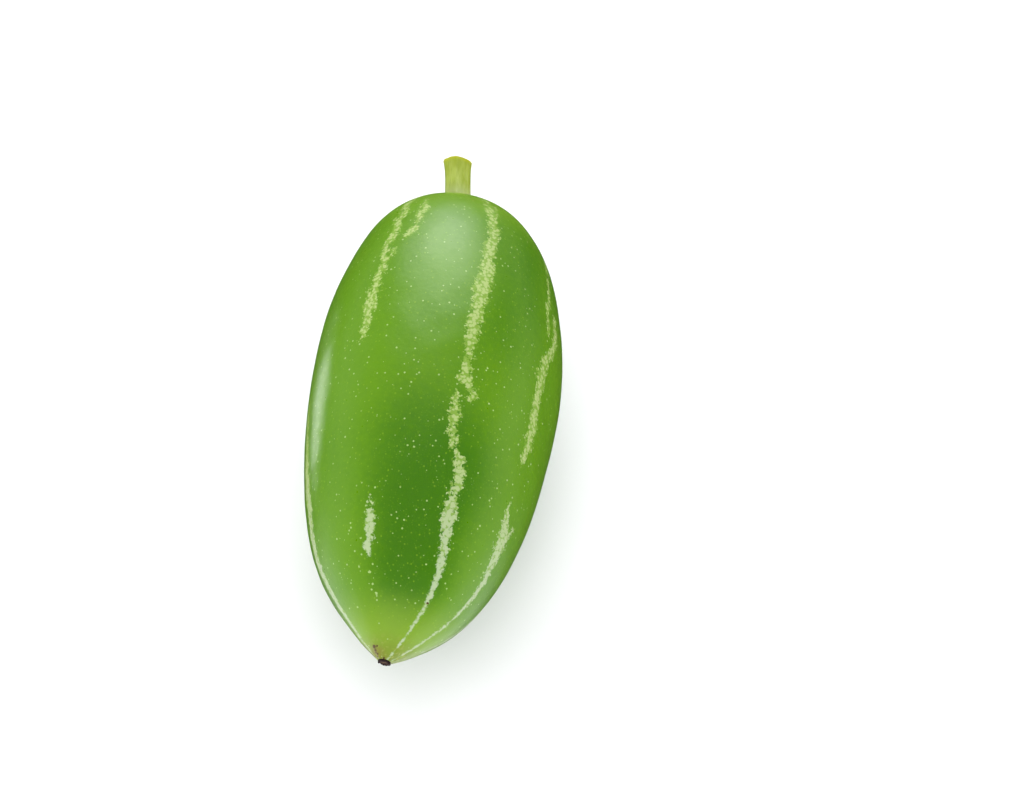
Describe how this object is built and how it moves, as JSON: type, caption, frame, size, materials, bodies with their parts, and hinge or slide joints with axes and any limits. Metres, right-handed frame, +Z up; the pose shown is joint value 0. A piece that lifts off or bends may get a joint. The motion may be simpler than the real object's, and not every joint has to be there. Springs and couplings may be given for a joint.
{
  "type": "ivy gourd",
  "caption": "Whole ivy gourd lying on its side: a spindle-shaped green striped fruit with a stalk stub and a dried blossom scar.",
  "frame": {"origin": "on the surface that the gourd lies on, below the middle of its bounding box", "axes": "+Y along the gourd towards its stalk, +Z up, +X to the right when looking along +Y"},
  "size_m": [0.025, 0.0572, 0.0247],
  "materials": {
    "skin": "waxy green fruit skin, satin gloss, ragged pale stripes and small pale dots",
    "stalk": "yellow-green fibrous stalk, matte, with fine lengthwise ribs",
    "scar": "dry dark brown, rough and crinkled"
  },
  "bodies": {
    "root": {"fruit": "skin", "stalk": "stalk", "blossom_scar": "scar"}
  },
  "joints": []
}
